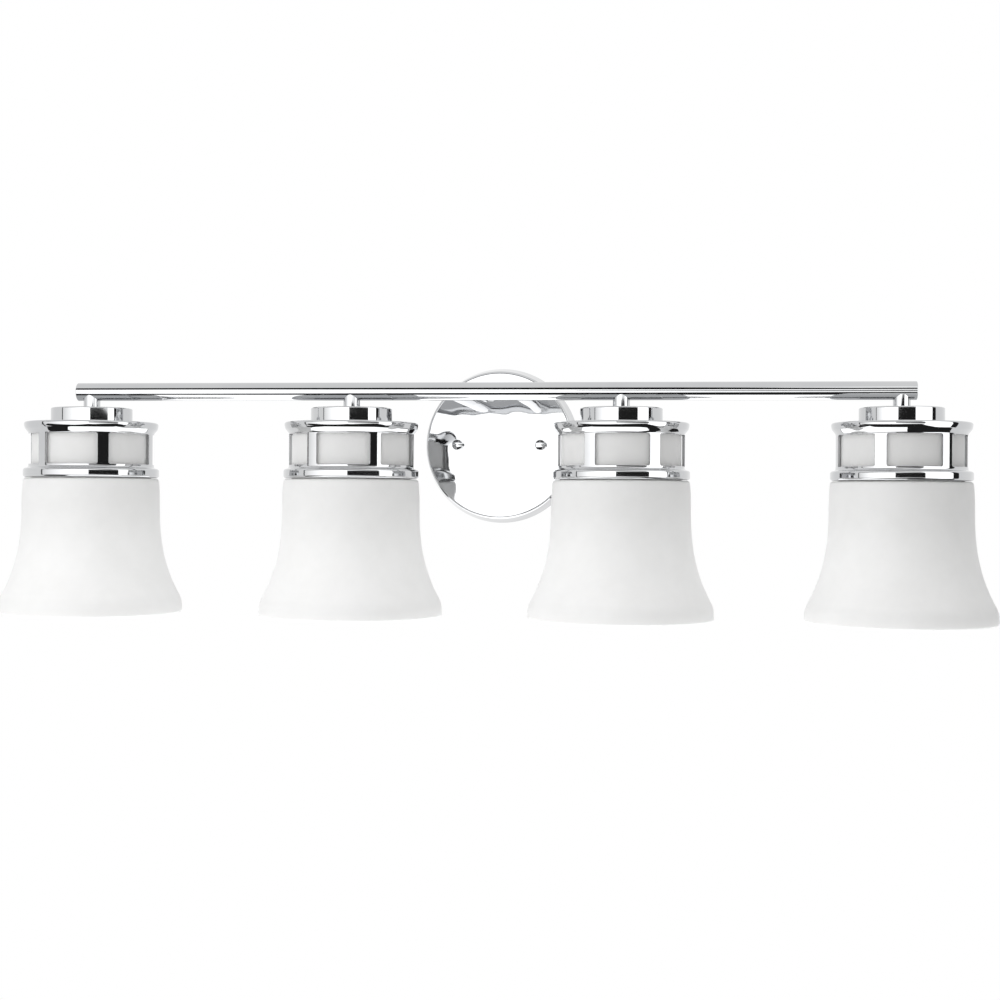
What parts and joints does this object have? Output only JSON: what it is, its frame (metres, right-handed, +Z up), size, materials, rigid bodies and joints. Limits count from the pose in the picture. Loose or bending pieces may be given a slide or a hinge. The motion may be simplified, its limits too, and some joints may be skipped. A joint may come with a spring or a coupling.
{
  "type": "vanity light bar",
  "caption": "Chrome bath bar: a round wall canopy, two arms and a straight tube that carries downward etched glass bells in windowed chrome cages.",
  "frame": {"origin": "centre of the mounting strap's back face, on the wall plane at the middle of the canopy's rim", "axes": "+X along the bar to the viewer's right, +Y into the wall, +Z up; the lamps hang towards -Z"},
  "size_m": [0.8312, 0.2032, 0.2166],
  "materials": {
    "chrome": "polished chrome plate",
    "etched_glass": "etched white glass",
    "zinc_steel": "bright zinc plate",
    "green_screw": "green dyed zinc",
    "glazed_porcelain": "white glaze",
    "brass": "stamped brass",
    "bulb_cap": "rolled thread",
    "bulb_glass": "inside frosted white",
    "black_lead": "extruded insulation",
    "white_lead": "extruded insulation",
    "bare_copper": "bare drawn wire",
    "orange_connector": "moulded"
  },
  "bodies": {
    "fixture": {"mounting_strap": "zinc_steel", "box_studs": "zinc_steel", "stud_lock_nuts": "zinc_steel", "ground_screw": "green_screw", "canopy": "chrome", "arm_left": "chrome", "arm_right": "chrome", "arm_nipples": "zinc_steel", "arm_washers": "zinc_steel", "arm_lock_nuts": "zinc_steel", "bar": "chrome", "end_plugs": "chrome", "lamp_nipples": "zinc_steel", "wire_black": "black_lead", "wire_white": "white_lead", "wire_ground": "bare_copper", "wire_connectors": "orange_connector", "stem_1": "chrome", "collar_1": "chrome", "cage_1": "chrome", "lampholder_1": "glazed_porcelain", "screw_shell_1": "brass", "centre_contact_1": "brass", "stem_2": "chrome", "collar_2": "chrome", "cage_2": "chrome", "lampholder_2": "glazed_porcelain", "screw_shell_2": "brass", "centre_contact_2": "brass", "stem_3": "chrome", "collar_3": "chrome", "cage_3": "chrome", "lampholder_3": "glazed_porcelain", "screw_shell_3": "brass", "centre_contact_3": "brass", "stem_4": "chrome", "collar_4": "chrome", "cage_4": "chrome", "lampholder_4": "glazed_porcelain", "screw_shell_4": "brass", "centre_contact_4": "brass"},
    "cap_nut_left": {"cap_nut_left": "chrome"},
    "cap_nut_right": {"cap_nut_right": "chrome"},
    "shade_1": {"glass_shade_1": "etched_glass"},
    "ring_1": {"shade_ring_1": "zinc_steel"},
    "lamp_bulb_1": {"bulb_base_1": "bulb_cap", "bulb_1": "bulb_glass"},
    "shade_2": {"glass_shade_2": "etched_glass"},
    "ring_2": {"shade_ring_2": "zinc_steel"},
    "lamp_bulb_2": {"bulb_base_2": "bulb_cap", "bulb_2": "bulb_glass"},
    "shade_3": {"glass_shade_3": "etched_glass"},
    "ring_3": {"shade_ring_3": "zinc_steel"},
    "lamp_bulb_3": {"bulb_base_3": "bulb_cap", "bulb_3": "bulb_glass"},
    "shade_4": {"glass_shade_4": "etched_glass"},
    "ring_4": {"shade_ring_4": "zinc_steel"},
    "lamp_bulb_4": {"bulb_base_4": "bulb_cap", "bulb_4": "bulb_glass"}
  },
  "joints": [
    {"name": "cap_nut_left_unscrew", "type": "slide", "parent": "fixture", "child": "cap_nut_left", "axis": [0, -1, 0], "range_m": [0, 0.006]},
    {"name": "cap_nut_right_unscrew", "type": "slide", "parent": "fixture", "child": "cap_nut_right", "axis": [0, -1, 0], "range_m": [0, 0.006]},
    {"name": "shade_1_lower", "type": "slide", "parent": "fixture", "child": "shade_1", "axis": [0, 0, -1], "range_m": [0, 0.014]},
    {"name": "ring_1_unscrew", "type": "hinge", "parent": "shade_1", "child": "ring_1", "pos_m": [-0.339, -0.1266, 0.005], "axis": [0, 0, -1], "range_deg": [0, 2520]},
    {"name": "bulb_1_unscrew", "type": "slide", "parent": "fixture", "child": "lamp_bulb_1", "axis": [0, 0, -1], "range_m": [0, 0.022]},
    {"name": "shade_2_lower", "type": "slide", "parent": "fixture", "child": "shade_2", "axis": [0, 0, -1], "range_m": [0, 0.014]},
    {"name": "ring_2_unscrew", "type": "hinge", "parent": "shade_2", "child": "ring_2", "pos_m": [-0.113, -0.1266, 0.005], "axis": [0, 0, -1], "range_deg": [0, 2520]},
    {"name": "bulb_2_unscrew", "type": "slide", "parent": "fixture", "child": "lamp_bulb_2", "axis": [0, 0, -1], "range_m": [0, 0.022]},
    {"name": "shade_3_lower", "type": "slide", "parent": "fixture", "child": "shade_3", "axis": [0, 0, -1], "range_m": [0, 0.014]},
    {"name": "ring_3_unscrew", "type": "hinge", "parent": "shade_3", "child": "ring_3", "pos_m": [0.113, -0.1266, 0.005], "axis": [0, 0, -1], "range_deg": [0, 2520]},
    {"name": "bulb_3_unscrew", "type": "slide", "parent": "fixture", "child": "lamp_bulb_3", "axis": [0, 0, -1], "range_m": [0, 0.022]},
    {"name": "shade_4_lower", "type": "slide", "parent": "fixture", "child": "shade_4", "axis": [0, 0, -1], "range_m": [0, 0.014]},
    {"name": "ring_4_unscrew", "type": "hinge", "parent": "shade_4", "child": "ring_4", "pos_m": [0.339, -0.1266, 0.005], "axis": [0, 0, -1], "range_deg": [0, 2520]},
    {"name": "bulb_4_unscrew", "type": "slide", "parent": "fixture", "child": "lamp_bulb_4", "axis": [0, 0, -1], "range_m": [0, 0.022]}
  ],
  "couplings": [
    {"joint": "ring_1_unscrew", "follows": "shade_1_lower", "rad_per_m": 3141.6},
    {"joint": "ring_2_unscrew", "follows": "shade_2_lower", "rad_per_m": 3141.6},
    {"joint": "ring_3_unscrew", "follows": "shade_3_lower", "rad_per_m": 3141.6},
    {"joint": "ring_4_unscrew", "follows": "shade_4_lower", "rad_per_m": 3141.6}
  ]
}
